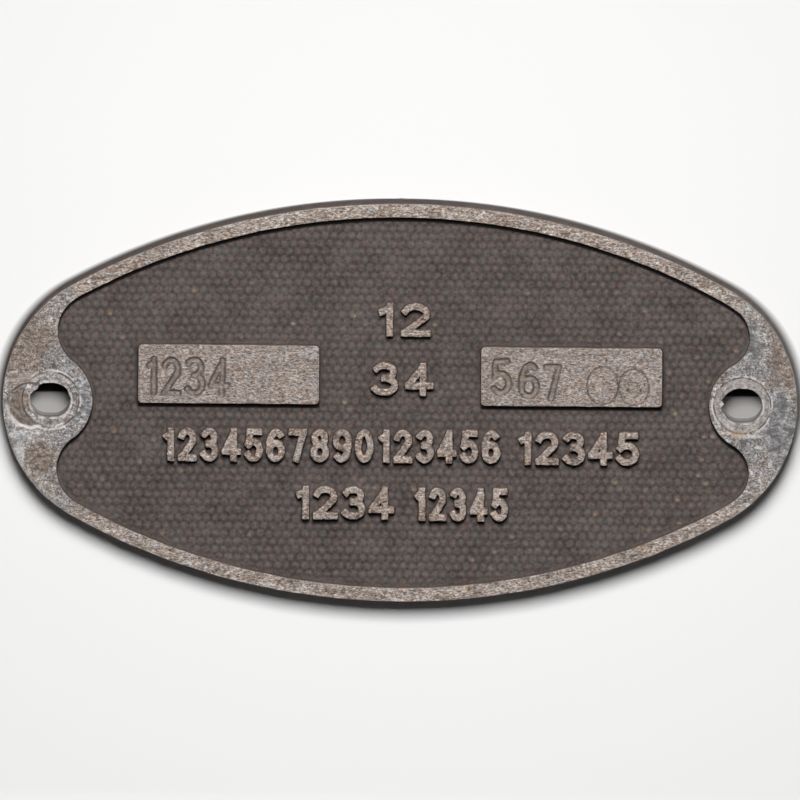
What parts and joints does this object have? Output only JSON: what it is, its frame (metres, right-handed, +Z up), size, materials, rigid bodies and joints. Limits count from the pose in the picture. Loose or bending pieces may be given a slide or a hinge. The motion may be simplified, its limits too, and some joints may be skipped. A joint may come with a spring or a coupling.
{
  "type": "railway wagon plate",
  "caption": "Flat oval cast-metal plate with a raised border, a slotted fixing hole in a lug at each end, a sunken studded ground and raised stamping panels.",
  "frame": {"origin": "middle of the flat back face, which lies on a wagon's side", "axes": "+X along the plate's length, to the right as seen from the front; +Z up as mounted; the face looks along -Y and the back face along +Y"},
  "size_m": [0.2, 0.006, 0.102],
  "materials": {
    "painted_ground": "satin, worn, dark brown-grey paint over cast metal",
    "ground_border": "ground bare, pitted, dulled cast aluminium",
    "lug_metal": "hammered and scraped cast aluminium",
    "panel_metal": "ground cast aluminium with a fine level grain"
  },
  "bodies": {
    "root": {"back_plate": "painted_ground", "upper_border": "ground_border", "lower_border": "ground_border", "left_lug": "lug_metal", "right_lug": "lug_metal", "left_panel": "panel_metal", "right_panel": "panel_metal"}
  },
  "joints": []
}
